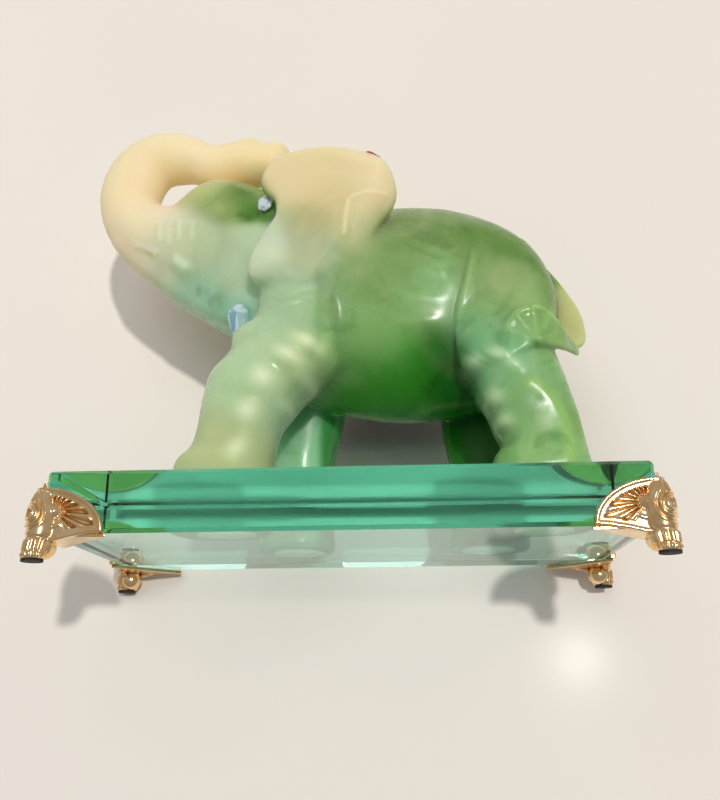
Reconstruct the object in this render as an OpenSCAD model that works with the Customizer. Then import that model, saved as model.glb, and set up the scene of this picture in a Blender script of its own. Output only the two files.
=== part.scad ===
// Jade-look elephant standing on a green glass plinth with four gilt corner feet.
// Millimetres, +Z up, the elephant's head towards -X. The origin is the centre of
// the outer box, on the surface that the plinth stands on.

/* [Plinth] */
// Length of the glass slab, along X
slab_w = 180; // [176:1:190]
// Depth of the glass slab, along Y
slab_d = 85; // [80:1:95]
// Thickness of the glass slab
slab_t = 19; // [15:1:25]
// Width of the polished bevel along every edge of the slab
slab_bevel = 1.2; // [0.5:0.1:2]

/* [Corner feet] */
// Height of the slab's underside above the table
foot_h = 8.4; // [7.6:0.2:12]
// Length of each fan wing from the slab's corner
wing_w = 19; // [16:0.5:24]
// Height of each fan wing above the slab's underside
wing_h = 13.5; // [11:0.5:14.5]
// Thickness of a fan wing
wing_t = 1.8; // [1.4:0.1:2.4]
// How far the rim of a fan stands out from the wing
rim_out = 0.7; // [0.4:0.1:1]
// Number of ribs on one fan
rib_count = 7; // [4:1:9]
// Radius of the round corner post
post_r = 4.4; // [3.8:0.1:5]
// How far a foot's sole stands out from the slab's corner, in X and in Y
sole_out = 1.2; // [0.6:0.1:1.6]
// Radius of a foot's sole
sole_r = 3.4; // [3:0.1:3.8]
// Thickness of the triangular plate under the glass
plate_t = 1.2; // [0.8:0.1:1.6]
// Thickness of the glue film between the plate and the glass
film_t = 0.2; // [0.1:0.1:0.3]
// Thickness of the dark pad under each foot
pad_t = 0.8; // [0.5:0.1:1.2]

/* [Elephant] */
// Thickness of the glue spots under the soles
glue_t = 0.3; // [0.2:0.1:0.5]
// Radius of the glue spots under the soles
glue_r = 10; // [6:1:11]
// Half thickness of an ear
ear_half_t = 2.9; // [2.4:0.1:3.4]
// Distance of the ears' middle plane from the body's middle plane
ear_y = 29; // [28:0.5:30]

/* [Crystals] */
// Radius of an eye crystal
eye_r = 2.2; // [1.8:0.1:2.5]
// Length of the throat crystal
drop_len = 14; // [12:1:16]
// Radius of the throat crystal at its girdle
drop_r = 4.2; // [3.4:0.2:4.6]
// Clearance round every set crystal
seat_gap = 0.05; // [0.03:0.01:0.1]

/* [Hidden] */

GILT = [0.86, 0.66, 0.32];
JADE = [0.60, 0.74, 0.48];
GLASS = [0.45, 0.75, 0.62, 0.6];
GLUE = [0.92, 0.92, 0.86];
PAD = [0.12, 0.10, 0.09];

// The elephant's smoothness: spheres that are only hulled or merged.
soft_fn = 28;
fine_fn = 20;
tail_fn = 16;
slab_top = foot_h + slab_t;
sole_z = slab_top + glue_t;

// ---- The elephant's skeleton: [x, y, z, radius], z from the soles, x from the slab's middle.
TRUNK = [
    [-50, 0, 89, 19], [-66, 0, 95.5, 16], [-79, 0, 102.5, 13], [-87, 0, 112, 10.8],
    [-89.5, 0, 122, 9.2], [-86.5, 0, 130.5, 9], [-78.5, 0, 136, 8.9], [-69, 0, 137, 8.7],
    [-61, 0, 134.5, 8.3], [-53, 0, 132.5, 8.5], [-43, 0, 133.5, 9.2], [-33, 0, 132, 8]
];
FORELEG_NEAR = [[-18, 16, 61, 17.5], [-22, 20, 45, 17], [-30, 20, 29, 16], [-36.5, 20, 16, 13.8],
    [-39.5, 20, 6, 14.6]];
FORELEG_FAR = [[-18, 16, 61, 17.5], [-18, 20, 45, 16], [-19, 20, 29, 14], [-20, 20, 16, 12.8],
    [-21, 20, 6, 13.6]];
HINDLEG_NEAR = [[50, 17, 47, 15.5], [53, 19, 35, 14.8], [57, 19, 25, 13.8], [60.5, 19, 15, 13.3],
    [60.5, 19, 6, 14]];
HINDLEG_FAR = [[44, 17, 47, 15], [45, 19, 35, 14], [46, 19, 25, 13.2], [46.5, 19, 15, 12.8],
    [46.5, 19, 6, 13.6]];
// The tail is a thin fin between an outer and an inner edge; its tip curls on to the left thigh.
TAIL_OUTER = [[62, 0, 92, 3], [69.5, 0, 84, 2.8], [76, -1, 74.5, 2.8], [79.3, -2, 65.5, 2.9],
    [79.8, -4, 57.5, 3.2], [77.5, -9, 50.5, 3.6]];
TAIL_INNER = [[62, 0, 86, 3], [66, 0, 79, 3], [71, -1, 70, 2.8], [73.5, -3, 63, 2.8],
    [75, -6, 57, 3], [73, -11, 51.5, 3.6]];
TAIL_TIP = [[77, -9, 50.5, 3.6], [76, -16, 46.5, 3.8], [72, -22.5, 45, 3.6]];
// The ear's edge as [x, z], round the fan from its front top corner.
EAR_EDGE = [[-28, 110], [-19, 114], [-8, 115], [4, 112.5], [12, 107], [13.6, 100], [9, 90],
    [2, 79], [-8, 70], [-20, 68.5], [-30, 71], [-30, 80], [-25, 92], [-25.5, 100]];
EYE = [-30.4, 17.6, 104.4];
EYE_TURN = [72, 0, -14];
DROP = [-39.6, -15.5, 51.6];
GEM = [9.2, 31.5, 113];

// The box in X: the trunk's left side, and the right-hand posts.
trunk_left = min([for (p = TRUNK) p[0] - p[3] * sin(90 - 90 / soft_fn)]);
post_out = post_r + 0.9;
plinth_x = -(trunk_left + slab_w / 2 + post_out) / 2;

// ---- Helpers
module ball(p, fn = soft_fn) {
    translate([p[0], p[1], p[2]]) sphere(r = p[3], $fn = fn);
}

module egg(centre, radii, tilt = 0, fn = soft_fn) {
    translate(centre) rotate([0, tilt, 0]) scale(radii) sphere(r = 1, $fn = fn);
}

module chain(points, fn = soft_fn) {
    for (i = [0 : len(points) - 2]) {
        hull() {
            ball(points[i], fn);
            ball(points[i + 1], fn);
        }
    }
}

// Copies of a list of skeleton points on the other side of the middle plane.
function on_side(points, side) = [for (p = points) [p[0], p[1] * side, p[2], p[3]]];

// The shallow dish in the ear's outer face: a large ball sunk a little into it.
dish_r = 80;
dish_depth = 1.5;

// How far out the ear stands at x: it spreads towards the rear.
function ear_out(x) = ear_y + 0.1 * (x + 10);

// ---- Elephant
module torso() {
    hull() {
        egg([20, 0, 67], [54, 29, 38], 0, 32);
        egg([-8, 0, 69], [27, 27, 35], 0, 32);
        egg([42, 0, 67], [30, 28, 33], 0, 32);
        egg([-28, 0, 86], [23, 21, 24], 0, 32);
    }
}

module head() {
    hull() {
        egg([-36, 0, 95], [22, 20, 24]);
        egg([-44, 0, 88], [18, 16, 20]);
    }
    hull() {
        egg([-49, 0, 107], [16, 14.5, 17], -10);
        ball([-66, 0, 101, 10], fine_fn);
    }
    hull() {
        ball([-42, 0, 79, 16]);
        ball([-60, 0, 86, 13]);
    }
    // The throat, which holds the crystal.
    hull() {
        ball([-35, -9, 64, 9.5], fine_fn);
        ball([-35, 9, 64, 9.5], fine_fn);
    }
}

module trunk() {
    chain(TRUNK);
    egg([-49, 0, 140], [5.5, 5, 3.6], 0, fine_fn);
    egg([-37, 0, 139], [6.5, 6, 3.8], 0, fine_fn);
}

module leg(points, side) {
    placed = on_side(points, side);
    foot = placed[len(placed) - 1];
    chain(placed);
    hull() {
        ball(foot);
        translate([foot[0] - 1, foot[1], -1]) cylinder(h = 3, r = foot[3] + 0.8, $fn = soft_fn);
    }
}

module haunch(x, side) {
    egg([x, side * 15, 57], [19, 14, 25], -8);
}

module ear(side) {
    difference() {
        hull() {
            for (e = EAR_EDGE) {
                ball([e[0], side * ear_out(e[0]), e[1], ear_half_t], 16);
            }
        }
        translate([-4, side * (ear_out(-4) + ear_half_t + dish_r - dish_depth), 97])
            sphere(r = dish_r, $fn = 64);
    }
    // The root that joins the ear's front edge to the head and the shoulder.
    hull() {
        ball([-22, side * 16, 100, 6], fine_fn);
        ball([-20, side * 16, 78, 8], fine_fn);
        ball([-22, side * 27, 104, 2.5], fine_fn);
        ball([-27, side * 26, 84, 2.5], fine_fn);
        ball([-16, side * 26, 76, 3], fine_fn);
    }
}

module tail() {
    for (i = [0 : len(TAIL_OUTER) - 2]) {
        hull() {
            for (k = [i, i + 1]) {
                ball(TAIL_OUTER[k], tail_fn);
                ball(TAIL_INNER[k], tail_fn);
            }
        }
    }
    chain(TAIL_TIP, tail_fn);
    egg([62.6, -26, 49], [13, 4.6, 7.6], 17, fine_fn);
}

module drop_space(gap) {
    translate(DROP) {
        cylinder(h = drop_len * 0.68, r1 = 0.6 + gap, r2 = drop_r + gap, $fn = 8);
        translate([0, 0, drop_len * 0.68])
            cylinder(h = drop_len * 0.32, r1 = drop_r + gap, r2 = drop_r * 0.45 + gap, $fn = 8);
    }
}

module eye_space(side, gap) {
    translate([EYE[0], side * EYE[1], EYE[2]])
        rotate([side * -EYE_TURN[0], 0, side * -EYE_TURN[2]])
            cylinder(h = 4 + 2 * gap, r = eye_r + gap, $fn = 12, center = true);
}

module gem_space(side, gap) {
    translate([GEM[0], side * GEM[1], GEM[2]]) rotate([0, 27, 0])
        cube([6.4 + 2 * gap, 2.4 + 2 * gap, 2.6 + 2 * gap], center = true);
}

module elephant_body() {
    difference() {
        union() {
            torso();
            head();
            trunk();
            tail();
            leg(FORELEG_NEAR, -1);
            leg(FORELEG_FAR, 1);
            leg(HINDLEG_NEAR, -1);
            leg(HINDLEG_FAR, 1);
            haunch(49, -1);
            haunch(44, 1);
            ear(-1);
            ear(1);
        }
        // Flat soles.
        translate([-150, -100, -50]) cube([300, 200, 50]);
        eye_space(-1, seat_gap);
        eye_space(1, seat_gap);
        gem_space(-1, seat_gap);
        gem_space(1, seat_gap);
        drop_space(seat_gap);
    }
}

module on_glass() {
    translate([plinth_x, 0, sole_z]) children();
}

module jade_elephant() {
    color(JADE) on_glass() elephant_body();
}

module eye(side) {
    color("white") on_glass() eye_space(side, 0);
}

module ear_gem(side) {
    color("darkred") on_glass() gem_space(side, 0);
}

module throat_crystal() {
    color([0.3, 0.8, 0.95]) on_glass() drop_space(0);
}

module sole_glue(points, side) {
    foot = points[len(points) - 1];
    color(GLUE) translate([plinth_x + foot[0], side * foot[1], slab_top])
        cylinder(h = glue_t, r = glue_r, $fn = 48);
}

// ---- Plinth: a slab with all its edges bevelled.
function bevelled(a, b, c) = [
    [c, 0], [a - c, 0], [a, c], [a, b - c], [a - c, b], [c, b], [0, b - c], [0, c]
];

module glass_plinth() {
    color(GLASS) translate([plinth_x - slab_w / 2, -slab_d / 2, foot_h]) intersection() {
        linear_extrude(height = slab_t) polygon(bevelled(slab_w, slab_d, slab_bevel));
        translate([0, slab_d, 0]) rotate([90, 0, 0])
            linear_extrude(height = slab_d) polygon(bevelled(slab_w, slab_t, slab_bevel));
        rotate([90, 0, 90]) linear_extrude(height = slab_w)
            polygon(bevelled(slab_d, slab_t, slab_bevel));
    }
}

// ---- Corner foot, drawn for the corner at the origin with the glass towards +X, +Y and +Z.
fan_steps = 14;
fan_dip = 2.6;
// A quarter-ellipse fan whose lower edge dips towards the post.
function fan(w, h, dip) = concat(
    [for (i = [0 : fan_steps]) [w * cos(90 * i / fan_steps), h * sin(90 * i / fan_steps)]],
    [[-post_r / 2, h], [-post_r / 2, -dip], [post_r, -dip], [w * 0.75, -dip * 0.3]]
);

// Raised rim: the band between the fan and a smaller fan.
module fan_rim() {
    difference() {
        polygon(fan(wing_w, wing_h, fan_dip));
        translate([0, -0.1]) polygon(fan(wing_w - 1.6, wing_h - 1.5, fan_dip - 1));
    }
}

module fan_ribs() {
    for (i = [0 : rib_count - 1]) {
        a = 4 + i * 82 / rib_count;
        reach = 1 / sqrt(pow(cos(a) / (wing_w - 1.4), 2) + pow(sin(a) / (wing_h - 1.4), 2));
        rotate([0, 90 - a, 0]) cylinder(h = reach, r1 = 0.35, r2 = 0.85, $fn = 24);
    }
}

module wing() {
    rotate([90, 0, 0]) {
        linear_extrude(height = wing_t) polygon(fan(wing_w, wing_h, fan_dip));
        translate([0, 0, wing_t]) linear_extrude(height = rim_out) fan_rim();
    }
    translate([0, -wing_t, 0]) fan_ribs();
}

// Round post with beads, turning into the leg below the glass.
module post() {
    cylinder(h = wing_h - 2, r = post_r, $fn = 48);
    translate([0, 0, wing_h - 2]) sphere(r = post_r, $fn = 48);
    // A ring with a leaf bead above and below it.
    face = -post_r * 0.6;
    translate([face, face, wing_h / 2]) rotate([0, 90, 45])
        rotate_extrude($fn = 32) translate([2.3, 0]) circle(r = 0.8, $fn = 16);
    for (z = [2, wing_h - 2]) {
        translate([face, face, z]) sphere(r = 1.6, $fn = 24);
    }
    hull() {
        cylinder(h = 1, r = post_r, $fn = 48);
        translate([-sole_out, -sole_out, pad_t - foot_h]) cylinder(h = 1, r = sole_r, $fn = 48);
    }
    translate([0.9, 0.9, pad_t - foot_h + 4.1]) sphere(r = 3.9, $fn = 48);
    for (a = [165 : 24 : 285]) {
        translate([-sole_out, -sole_out, pad_t - foot_h + 1.5]) rotate([0, 0, a])
            translate([3, 0, 0]) sphere(r = 1.1, $fn = 24);
    }
}

module foot_casting() {
    difference() {
        union() {
            wing();
            mirror([1, -1, 0]) wing();
            post();
            translate([0, 0, -film_t - plate_t]) linear_extrude(height = plate_t)
                polygon([[-1, -1], [wing_w, -1], [wing_w, 0.6], [0.6, wing_w], [-1, wing_w]]);
        }
        translate([0, 0, -film_t]) cube([60, 60, 60]);
        translate([-20, -20, pad_t - foot_h - 20]) cube([60, 60, 20]);
    }
}

module at_corner(sx, sy) {
    translate([plinth_x + sx * slab_w / 2, sy * slab_d / 2, foot_h])
        mirror([sx > 0 ? 1 : 0, 0, 0]) mirror([0, sy > 0 ? 1 : 0, 0]) children();
}

module corner_foot(sx, sy) {
    color(GILT) at_corner(sx, sy) foot_casting();
}

module foot_pad(sx, sy) {
    color(PAD) at_corner(sx, sy) translate([-sole_out, -sole_out, -foot_h])
        cylinder(h = pad_t, r = sole_r - 0.2, $fn = 48);
}

module glue_film(sx, sy) {
    color(GLUE) at_corner(sx, sy) translate([0, 0, -film_t]) linear_extrude(height = film_t)
        polygon([[1.5, 1.5], [wing_w - 3, 1.5], [1.5, wing_w - 3]]);
}

glass_plinth();
jade_elephant();
corner_foot(-1, -1);  // corner_foot_front_left
corner_foot(1, -1);  // corner_foot_front_right
corner_foot(-1, 1);  // corner_foot_rear_left
corner_foot(1, 1);  // corner_foot_rear_right
foot_pad(-1, -1);  // foot_pad_front_left
foot_pad(1, -1);  // foot_pad_front_right
foot_pad(-1, 1);  // foot_pad_rear_left
foot_pad(1, 1);  // foot_pad_rear_right
glue_film(-1, -1);  // glue_film_front_left
glue_film(1, -1);  // glue_film_front_right
glue_film(-1, 1);  // glue_film_rear_left
glue_film(1, 1);  // glue_film_rear_right
sole_glue(FORELEG_NEAR, -1);  // sole_glue_front_left
sole_glue(FORELEG_FAR, 1);  // sole_glue_front_right
sole_glue(HINDLEG_NEAR, -1);  // sole_glue_hind_left
sole_glue(HINDLEG_FAR, 1);  // sole_glue_hind_right
eye(-1);  // eye_left
eye(1);  // eye_right
ear_gem(-1);  // ear_gem_left
ear_gem(1);  // ear_gem_right
throat_crystal();
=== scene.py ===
import bmesh
import bpy
import numpy as np
from mathutils import Matrix, Vector


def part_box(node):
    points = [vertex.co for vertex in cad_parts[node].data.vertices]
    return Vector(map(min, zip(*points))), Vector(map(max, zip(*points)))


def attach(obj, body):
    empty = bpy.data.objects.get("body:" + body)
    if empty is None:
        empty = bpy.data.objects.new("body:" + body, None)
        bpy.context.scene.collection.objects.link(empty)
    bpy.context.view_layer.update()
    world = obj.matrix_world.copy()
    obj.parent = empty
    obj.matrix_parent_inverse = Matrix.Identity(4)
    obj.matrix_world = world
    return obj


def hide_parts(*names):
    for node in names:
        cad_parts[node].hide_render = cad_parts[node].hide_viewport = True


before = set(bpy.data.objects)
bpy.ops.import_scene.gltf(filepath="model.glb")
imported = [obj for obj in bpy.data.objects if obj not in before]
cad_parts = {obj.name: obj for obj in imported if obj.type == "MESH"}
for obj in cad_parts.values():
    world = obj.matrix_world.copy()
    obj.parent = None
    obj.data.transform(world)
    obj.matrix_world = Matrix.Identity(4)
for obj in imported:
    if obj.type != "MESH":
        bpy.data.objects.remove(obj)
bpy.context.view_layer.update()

MM = 0.001
SIDES = (-1, 1)

# ---- places from the CAD
SLAB_LOW, SLAB_HIGH = (np.array(corner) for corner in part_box("glass_plinth"))
ELEPHANT_LOW = np.array(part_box("jade_elephant")[0])
# The sculpting below is in millimetres, x from the slab's middle and z from the soles.
SCULPT_ORIGIN = np.array([(SLAB_LOW[0] + SLAB_HIGH[0]) / 2, 0.0, ELEPHANT_LOW[2]])


def to_row(points):
    """Sculpting millimetres to metres in the row frame."""
    return np.asarray(points, float) * MM + SCULPT_ORIGIN


# ---- clay: a distance field on a grid
class Clay:
    """A solid held as the signed distance to its skin, sampled on a grid, in millimetres."""

    def __init__(self, low, high, step):
        self.step = step
        self.low = np.array(low, float)
        count = np.ceil((np.array(high) - self.low) / step).astype(int) + 1
        self.field = np.full(count, 50.0, np.float32)

    def window(self, low, high):
        first = np.maximum(np.floor((np.array(low) - self.low) / self.step).astype(int), 0)
        last = np.ceil((np.array(high) - self.low) / self.step).astype(int) + 1
        last = np.minimum(last, self.field.shape)
        axes = (self.low[i] + self.step * np.arange(first[i], last[i]) for i in range(3))
        part = tuple(slice(a, b) for a, b in zip(first, last))
        return part, *np.ix_(*(a.astype(np.float32) for a in axes))

    def add(self, shape, blend=0.0, sign=1):
        """Merges a shape with the clay; a sign of -1 cuts it out."""
        distance, low, high = shape
        room = blend + 2 * self.step
        part, *grid = self.window(low - room, high + room)
        self.field[part] = sign * smooth_min(sign * self.field[part], distance(*grid), blend)

    def flatten_below(self, height):
        z = self.low[2] + self.step * np.arange(self.field.shape[2])
        self.field = np.maximum(self.field, (height - z)[None, None, :].astype(np.float32))


def smooth_min(a, b, blend):
    if blend <= 0:
        return np.minimum(a, b)
    overlap = np.maximum(blend - np.abs(a - b), 0) / blend
    return np.minimum(a, b) - overlap * overlap * (blend / 4)


def taper(start, end):
    """Two balls and the cone between them; each is x, y, z, radius."""
    p, q = np.array(start[:3], np.float32), np.array(end[:3], np.float32)
    r0, r1 = float(start[3]), float(end[3])
    along = q - p
    length2 = float(along @ along)

    def distance(x, y, z):
        dx, dy, dz = x - p[0], y - p[1], z - p[2]
        share = np.clip((dx * along[0] + dy * along[1] + dz * along[2]) / length2, 0, 1)
        dx, dy, dz = dx - share * along[0], dy - share * along[1], dz - share * along[2]
        return np.sqrt(dx * dx + dy * dy + dz * dz) - (r0 + (r1 - r0) * share)

    reach = max(r0, r1)
    return distance, np.minimum(p, q) - reach, np.maximum(p, q) + reach


def chain(points, inner):
    """A row of tapering links, merged with each other."""
    def distance(x, y, z):
        row = None
        for start, end in zip(points, points[1:]):
            link = taper(start, end)[0](x, y, z)
            row = link if row is None else smooth_min(row, link, inner)
        return row

    return distance, (points[:, :3] - points[:, 3:]).min(0), (points[:, :3] + points[:, 3:]).max(0)


def turn(degrees, axis):
    """A rotation about X, Y or Z, for an axis of 0, 1 or 2."""
    matrix = np.eye(3)
    a, b = (axis + 1) % 3, (axis + 2) % 3
    matrix[a, a] = matrix[b, b] = np.cos(np.radians(degrees))
    matrix[b, a] = np.sin(np.radians(degrees))
    matrix[a, b] = -matrix[b, a]
    return matrix


def smooth_row(points, steps=4):
    """A smooth curve through rows of numbers, with this many steps from each row to the next."""
    rows = np.array(points, float)
    rows = np.concatenate([[2 * rows[0] - rows[1]], rows, [2 * rows[-1] - rows[-2]]])
    t = np.linspace(0, 1, steps, endpoint=False)[:, None]
    curve = []
    for a, b, c, d in zip(rows, rows[1:], rows[2:], rows[3:]):
        bend = (2 * a - 5 * b + 4 * c - d) * t ** 2 + (3 * b - 3 * c + d - a) * t ** 3
        curve.append(0.5 * (2 * b + (c - a) * t + bend))
    return np.concatenate(curve + [rows[-2:-1]])


def column(levels, side, square=2.3):
    """An upright solid from levels of z, front x, rear x, middle |y| and half width in y."""
    rows = smooth_row(levels)
    low, high = rows[0, 0], rows[-1, 0]

    def distance(x, y, z):
        front, rear, middle, half = (np.interp(z, rows[:, 0], rows[:, k]) for k in (1, 2, 3, 4))
        long = (rear - front) / 2
        u = np.abs(x - (front + rear) / 2) / long + 1e-4
        v = np.abs(side * y - middle) / half + 1e-4
        near = (u ** square + v ** square) ** (1 / square)
        slope = near ** (1 - square) * np.hypot(u ** (square - 1) / long, v ** (square - 1) / half)
        wall = (near - 1) / np.maximum(slope, 1e-3)
        return np.maximum(wall, np.maximum(low - z, z - high)).astype(np.float32)

    reach_y = (rows[:, 3] + rows[:, 4]).max()
    ends = sorted((0.0, side * reach_y))
    return distance, np.array([rows[:, 1].min(), ends[0], low]), np.array([rows[:, 2].max(), ends[1], high])


def egg(centre, radii, turned=0):
    """An ellipsoid, turned by some degrees about Z."""
    centre, radii = np.array(centre, np.float32), np.array(radii, np.float32)
    m = turn(turned, 2).T.astype(np.float32)

    def distance(x, y, z):
        away = (x - centre[0], y - centre[1], z - centre[2])
        u, v, w = ((row[0] * away[0] + row[1] * away[1] + row[2] * away[2]) / r for row, r in zip(m, radii))
        near = np.sqrt(u * u + v * v + w * w)
        slope = np.sqrt((u / radii[0]) ** 2 + (v / radii[1]) ** 2 + (w / radii[2]) ** 2)
        return near * (near - 1) / np.maximum(slope, 1e-6)

    reach = np.sqrt(((np.abs(m.T) * radii) ** 2).sum(1))
    return distance, centre - reach, centre + reach


def rounded(inner, off, roll):
    """The distance to a sheet whose edge has this radius, from its distances in plan and across."""
    inner = inner + roll
    outside = np.sqrt(np.maximum(inner, 0) ** 2 + np.maximum(off, 0) ** 2)
    return (outside + np.minimum(np.maximum(inner, off), 0) - roll).astype(np.float32)


def skin(clay):
    """Surface nets: one vertex in every cell that the skin crosses, and quads between them."""
    field = clay.field
    nx, ny, nz = field.shape
    inside = field < 0
    corners = [(i, j, k) for i in (0, 1) for j in (0, 1) for k in (0, 1)]
    count = np.zeros((nx - 1, ny - 1, nz - 1), np.uint8)
    for i, j, k in corners:
        count += inside[i:nx - 1 + i, j:ny - 1 + j, k:nz - 1 + k]
    crossed = (count > 0) & (count < 8)
    cells = np.argwhere(crossed)
    number = np.full(crossed.shape, -1, np.int64)
    number[crossed] = np.arange(len(cells))
    values = np.stack([field[cells[:, 0] + i, cells[:, 1] + j, cells[:, 2] + k] for i, j, k in corners], 1)
    total, hits = np.zeros((len(cells), 3)), np.zeros(len(cells))
    for a in range(8):
        for b in range(a + 1, 8):
            one, two = np.array(corners[a]), np.array(corners[b])
            if np.abs(one - two).sum() != 1:
                continue
            va, vb = values[:, a], values[:, b]
            cross = (va < 0) != (vb < 0)
            share = va[cross] / (va[cross] - vb[cross])
            total[cross] += one + (two - one) * share[:, None]
            hits[cross] += 1
    points = clay.low + clay.step * (cells + total / hits[:, None])
    faces = []
    for axis in range(3):
        before, after = [slice(None)] * 3, [slice(None)] * 3
        before[axis], after[axis] = slice(0, -1), slice(1, None)
        first, second = inside[tuple(before)], inside[tuple(after)]
        edges = np.argwhere(first != second)
        o, p = [k for k in range(3) if k != axis]
        fits = (edges[:, o] > 0) & (edges[:, p] > 0)
        fits &= (edges[:, o] < field.shape[o] - 1) & (edges[:, p] < field.shape[p] - 1)
        edges = edges[fits]
        quad = []
        for back_o, back_p in ((1, 1), (0, 1), (0, 0), (1, 0)):
            cell = edges.copy()
            cell[:, o] -= back_o
            cell[:, p] -= back_p
            quad.append(number[cell[:, 0], cell[:, 1], cell[:, 2]])
        quad = np.stack(quad, 1)
        flip = first[edges[:, 0], edges[:, 1], edges[:, 2]]
        if axis == 1:
            flip = ~flip
        quad[~flip] = quad[~flip][:, ::-1]
        faces.append(quad)
    return points, np.concatenate(faces)


def point_normals(points, faces):
    across = points[faces[:, 2]] - points[faces[:, 0]]
    other = points[faces[:, 3]] - points[faces[:, 1]]
    flat = np.cross(across, other)
    normals = np.zeros_like(points)
    for corner in range(4):
        for axis in range(3):
            normals[:, axis] += np.bincount(faces[:, corner], flat[:, axis], len(points))
    return normals / (np.linalg.norm(normals, axis=1)[:, None] + 1e-12)


def relax(points, faces, rounds, keep=0.5):
    """Evens out the grid's steps by moving each point towards the middle of its faces."""
    for _ in range(rounds):
        middle = points[faces].mean(1)
        total, count = np.zeros_like(points), np.zeros(len(points))
        for corner in range(4):
            count += np.bincount(faces[:, corner], minlength=len(points))
            for axis in range(3):
                total[:, axis] += np.bincount(faces[:, corner], middle[:, axis], len(points))
        points = keep * points + (1 - keep) * total / count[:, None]
    return points


# ---- small helpers for sculpting on the skin
def rise(value, low, high):
    """0 below low, 1 above high, smooth between."""
    t = np.clip((value - low) / (high - low), 0, 1)
    return t * t * (3 - 2 * t)


def hill(distance, width):
    return np.exp(-(distance / width) ** 2)


def ramp(value, width):
    """0 below 0, 1 above width, straight between."""
    return np.clip(value / width, 0, 1)


def spot(across, upward):
    return np.exp(-across ** 2 - upward ** 2)


def from_line(points, corners):
    """Distance from each point to a line of straight stretches."""
    best = np.full(len(points), 1e9)
    corners = np.array(corners, float)
    for a, b in zip(corners, corners[1:]):
        along = b - a
        share = np.clip(((points - a) @ along) / (along @ along), 0, 1)
        best = np.minimum(best, np.linalg.norm(points - a - share[:, None] * along, axis=1))
    return best


def waves(points, size, seed, count=14):
    """Soft seeded unevenness, about -1 to 1, with hills of about this size."""
    rng = np.random.default_rng(seed)
    total = np.zeros(len(points))
    for _ in range(count):
        direction = rng.normal(size=3)
        direction *= 2 * np.pi / size / np.linalg.norm(direction) * rng.uniform(0.6, 1.4)
        total += np.sin(points @ direction + rng.uniform(0, 2 * np.pi))
    return total / np.sqrt(count)


# ---- materials
class Nodes:
    """Short ways to add nodes to one tree."""

    def __init__(self, tree):
        self.tree = tree

    def plug(self, node, inputs):
        """Links the inputs that are sockets and sets the others."""
        for key, value in inputs.items():
            if isinstance(value, bpy.types.NodeSocket):
                self.tree.links.new(value, node.inputs[key])
            else:
                node.inputs[key].default_value = value

    def add(self, kind, inputs, output=0, **settings):
        made = self.tree.nodes.new("ShaderNode" + kind)
        for key, value in settings.items():
            setattr(made, key, value)
        self.plug(made, inputs)
        return made.outputs[output]

    def attribute(self, name, output="Fac"):
        return self.add("Attribute", {}, output, attribute_name=name)

    def math(self, operation, a, b):
        return self.add("Math", {0: a, 1: b}, operation=operation)

    def mix(self, share, a, b, how="MIX"):
        return self.add("Mix", {0: share, 6: a, 7: b}, 2, data_type="RGBA", blend_type=how)

    def remap(self, value, low, high, to_low=0.0, to_high=1.0):
        inputs = {0: value, 1: low, 2: high, 3: to_low, 4: to_high}
        return self.add("MapRange", inputs, interpolation_type="SMOOTHSTEP")


class Paint(Nodes):
    """A material in the making."""

    def __init__(self, name):
        self.material = bpy.data.materials.new(name)
        self.material.use_nodes = True
        super().__init__(self.material.node_tree)
        self.tree.nodes.clear()
        self.shader = self.tree.nodes.new("ShaderNodeBsdfPrincipled")
        self.out = self.tree.nodes.new("ShaderNodeOutputMaterial")
        self.plug(self.out, {"Surface": self.shader.outputs[0]})
        self.where = self.add("TexCoord", {}, "Object")

    def noise(self, scale, detail, distortion=0.0):
        inputs = {"Vector": self.where, "Scale": scale, "Detail": detail, "Distortion": distortion}
        return self.add("TexNoise", inputs, "Fac")

    def clouds(self, scale, detail, low, high, to_low=0.0, to_high=1.0, distortion=0.0):
        """Noise between two levels, spread from to_low to to_high."""
        return self.remap(self.noise(scale, detail, distortion), low, high, to_low, to_high)

    def fill(self, colour, density):
        inside = self.add("VolumeAbsorption", {"Color": colour, "Density": density})
        self.plug(self.out, {"Volume": inside})

    def finish(self, inputs, relief):
        """Sets the shader and its bump, whose relief is scale, detail, strength and distance."""
        scale, detail, strength, distance = relief
        height = {"Height": self.noise(scale, detail), "Strength": strength, "Distance": distance}
        self.plug(self.shader, {**inputs, "Normal": self.add("Bump", height)})
        return self.material


def grey(value):
    return value, value, value, 1


def srgb(red, green, blue):
    """A colour given as 0-255 screen values, as the linear colour that shaders use."""
    value = np.array([red, green, blue]) / 255
    return tuple(np.where(value <= 0.04045, value / 12.92, ((value + 0.055) / 1.055) ** 2.4)) + (1.0,)


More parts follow.
